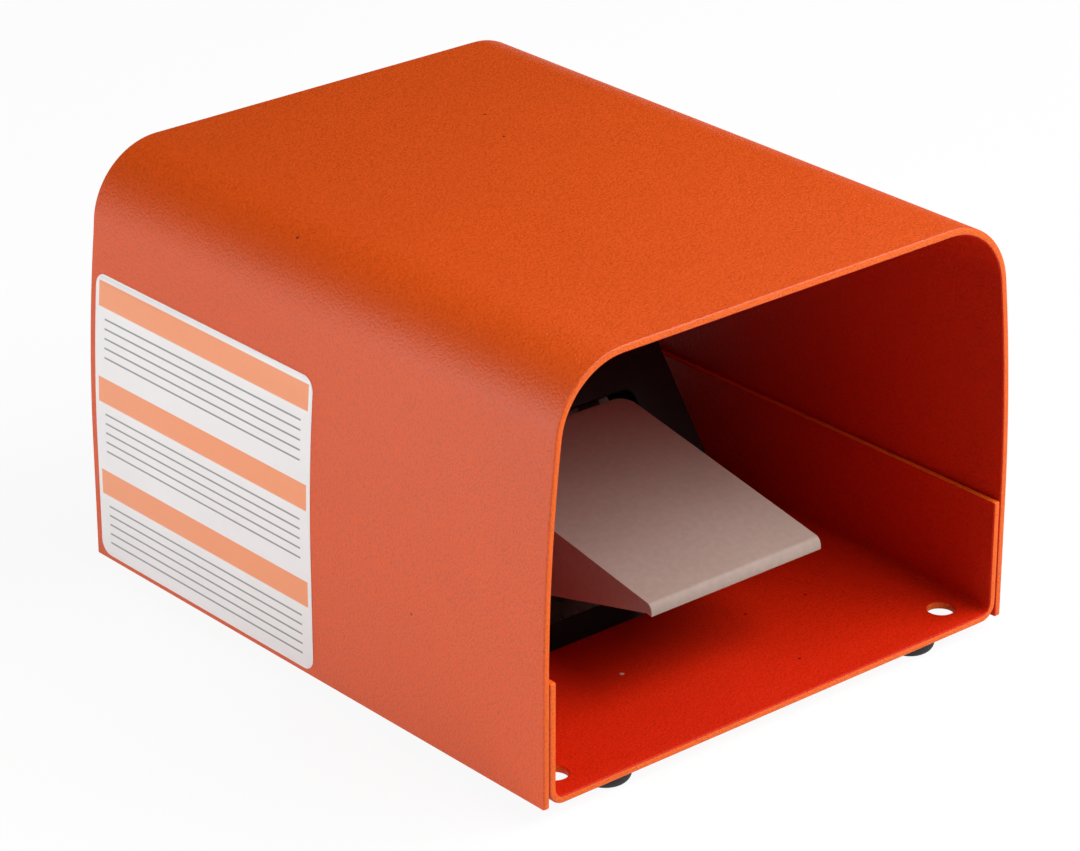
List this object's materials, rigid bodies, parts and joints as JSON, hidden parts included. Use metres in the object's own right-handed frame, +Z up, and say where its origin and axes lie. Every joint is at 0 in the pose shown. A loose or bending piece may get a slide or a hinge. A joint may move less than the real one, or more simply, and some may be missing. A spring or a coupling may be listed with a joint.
{
  "type": "foot switch",
  "caption": "Pedal switch under an arched sheet-metal guard, with a sloped grey treadle in a black housing that works a snap switch.",
  "frame": {"origin": "centre of the footprint, on the floor under the rubber feet", "axes": "+Z up, -Y out of the guard's open front towards the user, +X to the right seen from the front"},
  "size_m": [0.15, 0.175, 0.1127],
  "materials": {
    "orange_paint": "fine-textured orange powder coat",
    "black_rubber": "matte black rubber",
    "housing_black": "black moulded, fine satin grain",
    "zinc_plate": "bright zinc plated steel",
    "zinc_screw": "zinc plated steel screws",
    "pin_steel": "ground steel pin",
    "clip_black": "black phosphated spring steel",
    "treadle_grey": "warm light grey moulding with a fine texture",
    "nylon_natural": "natural nylon",
    "spring_steel": "bright spring wire",
    "case_brown": "dark brown phenolic",
    "plunger_red": "dark red acetal",
    "terminal_brass": "brass blade",
    "ground_green": "green earth screw"
  },
  "bodies": {
    "base": {"hood": "orange_paint", "base_tray": "orange_paint", "rubber_feet": "black_rubber", "switch_housing": "housing_black", "base_plate": "zinc_plate", "housing_screws": "zinc_screw", "pivot_bracket": "zinc_plate", "bracket_rivets": "zinc_screw", "pivot_pin": "pin_steel", "pin_clips": "clip_black", "return_springs": "spring_steel", "spring_seats": "zinc_plate", "rest_pad": "black_rubber", "down_stops": "black_rubber", "switch_case": "case_brown", "switch_terminals": "terminal_brass", "switch_bracket": "zinc_plate", "switch_screws": "zinc_screw", "switch_nuts": "zinc_screw", "bracket_screws": "zinc_screw", "ground_screw": "ground_green"},
    "treadle": {"treadle": "treadle_grey", "pivot_bushes": "nylon_natural", "adjusting_screw": "zinc_screw", "adjusting_nut": "zinc_screw"},
    "lever": {"switch_lever": "spring_steel"},
    "plunger": {"switch_plunger": "plunger_red"}
  },
  "joints": [
    {"name": "treadle_press", "type": "hinge", "parent": "base", "child": "treadle", "pos_m": [0, 0.03, 0.0175], "axis": [1, 0, 0], "range_deg": [0, 8], "stiffness_Nm_per_rad": 6, "springref_deg": -11.46, "deforming": ["return_springs"]},
    {"name": "lever_press", "type": "hinge", "parent": "base", "child": "lever", "pos_m": [0, -0.0044, 0.0334], "axis": [1, 0, 0], "range_deg": [-6, 0]},
    {"name": "plunger_press", "type": "slide", "parent": "base", "child": "plunger", "axis": [0, 0, -1], "range_m": [0, 0.0008]}
  ],
  "couplings": [
    {"joint": "lever_press", "follows": "treadle_press", "ratio": -0.7125},
    {"joint": "plunger_press", "follows": "treadle_press", "m_per_rad": 0.005}
  ]
}
